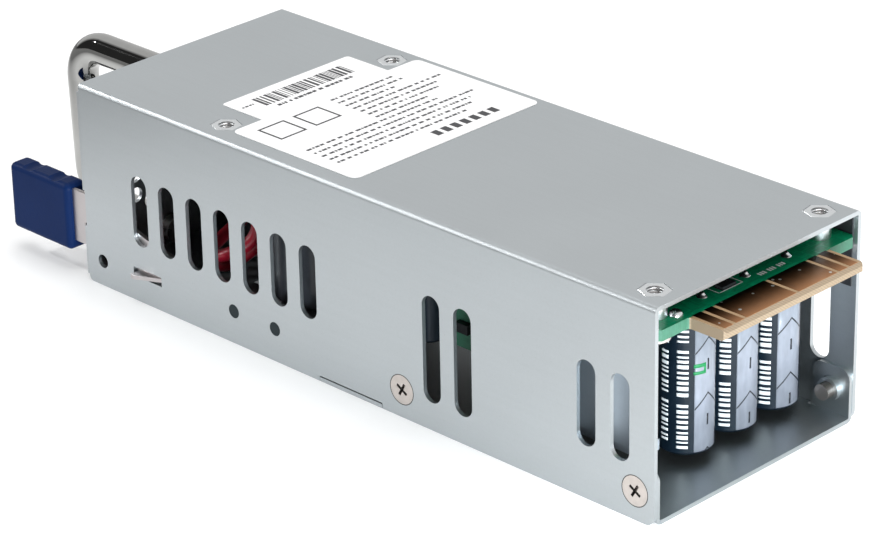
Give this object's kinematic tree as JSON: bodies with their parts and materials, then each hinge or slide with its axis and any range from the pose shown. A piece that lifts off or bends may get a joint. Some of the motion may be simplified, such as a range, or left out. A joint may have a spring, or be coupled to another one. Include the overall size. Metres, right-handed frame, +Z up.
{
  "type": "hot swap server power supply",
  "caption": "Slide-in power supply with a vented steel casing, a card-edge board at one end, and a handle, spring latch and mains inlet at the other.",
  "frame": {"origin": "centre of the casing's underside, halfway between the side walls and between the side walls' front and rear edges", "axes": "+X forward, the way the supply slides into its bay and towards the card edge; +Y to the wall opposite the latch; +Z up, towards the label"},
  "size_m": [0.1771, 0.0542, 0.0401],
  "materials": {
    "casing_steel": "galvanised",
    "bright_bar": "polished",
    "spring_steel": "satin",
    "fastener": "nickel plated",
    "grip_plastic": "moulded",
    "board": "solder mask over glass laminate",
    "gold": "gold plated",
    "can_sleeve": "shrunk sleeve",
    "ferrite": "sintered",
    "bobbin_plastic": "moulded",
    "winding_tape": "wound tape",
    "enamelled_copper": "enamelled",
    "iron_powder": "coated ring core",
    "aluminium": "plain",
    "package_black": "moulded",
    "film_case": "potted case",
    "disc_blue": "dipped",
    "disc_green": "dipped",
    "fuse_body": "ceramic tube",
    "inlet_black": "moulded",
    "blade": "nickel plated",
    "fan_black": "moulded",
    "wire_red": "extruded insulation",
    "wire_green": "extruded insulation",
    "header_white": "moulded",
    "black_film": "film",
    "label": "coated",
    "light_pipe": "clear",
    "light_chip": "cast",
    "solder": "tinned"
  },
  "bodies": {
    "root": {"chassis_shell": "casing_steel", "cover_tray": "casing_steel", "cover_screws": "fastener", "handle_bar": "bright_bar", "handle_screws": "fastener", "latch_foot": "spring_steel", "latch_rivets": "fastener", "main_board": "board", "contact_pads": "gold", "board_standoffs": "fastener", "board_screws": "fastener", "output_capacitor_1": "can_sleeve", "output_capacitor_2": "can_sleeve", "output_capacitor_3": "can_sleeve", "output_capacitor_4": "can_sleeve", "bulk_capacitor": "can_sleeve", "aux_capacitor": "can_sleeve", "transformer_core": "ferrite", "transformer_bobbin": "bobbin_plastic", "transformer_winding": "winding_tape", "output_choke_core": "iron_powder", "output_choke_winding": "enamelled_copper", "emi_choke_core": "ferrite", "emi_choke_windings": "enamelled_copper", "x_capacitor": "film_case", "y_capacitors": "disc_blue", "bridge_rectifier": "package_black", "fuse": "fuse_body", "thermistor": "disc_green", "primary_heat_sink": "aluminium", "primary_switches": "package_black", "secondary_heat_sink": "aluminium", "output_rectifier": "package_black", "control_board": "board", "control_chips": "package_black", "wire_header": "header_white", "inlet_housing": "inlet_black", "inlet_blades": "blade", "fan_frame": "fan_black", "fan_screws": "fastener", "live_wire": "wire_red", "neutral_wire": "wire_red", "earth_wire": "wire_green", "earth_lug": "solder", "earth_screw": "fastener", "insulating_sheet": "black_film", "rating_label": "label", "light_pipe": "light_pipe", "status_light": "light_chip", "solder_joints": "solder", "surface_parts": "package_black"},
    "latch": {"latch_arm": "spring_steel", "latch_grip": "grip_plastic"},
    "fan": {"fan_rotor": "fan_black"}
  },
  "joints": [
    {"name": "latch_hinge", "type": "hinge", "parent": "root", "child": "latch", "pos_m": [-0.0352, -0.025, 0.009], "axis": [0, 0, -1], "range_deg": [0, 5.5], "stiffness_Nm_per_rad": 1.5, "springref_deg": -1.72},
    {"name": "fan_spin", "type": "hinge", "parent": "root", "child": "fan", "pos_m": [-0.0332, 0.00825, 0.0158], "axis": [1, 0, 0], "continuous": true}
  ]
}
